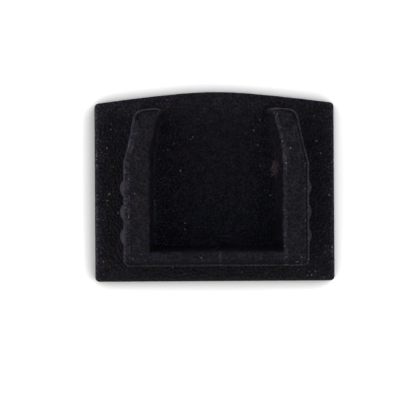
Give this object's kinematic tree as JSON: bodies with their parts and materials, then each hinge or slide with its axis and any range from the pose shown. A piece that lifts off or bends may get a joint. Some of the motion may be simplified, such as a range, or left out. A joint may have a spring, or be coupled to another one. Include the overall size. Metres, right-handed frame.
{
  "type": "profile end cap",
  "caption": "One-piece moulded end cap for a crowned channel profile: a cover plate with an arched top edge and a drafted U-shaped tongue with crush ribs that presses into the channel.",
  "frame": {"origin": "centre of the outer face, on the face", "axes": "+X across the profile's width, +Y towards the crowned edge, +Z out of the plate towards the tip of the tongue"},
  "size_m": [0.016, 0.0126, 0.0072],
  "materials": {
    "black_plastic": "fine spark-eroded grain, matte"
  },
  "bodies": {
    "root": {"end_cap": "black_plastic"}
  },
  "joints": []
}
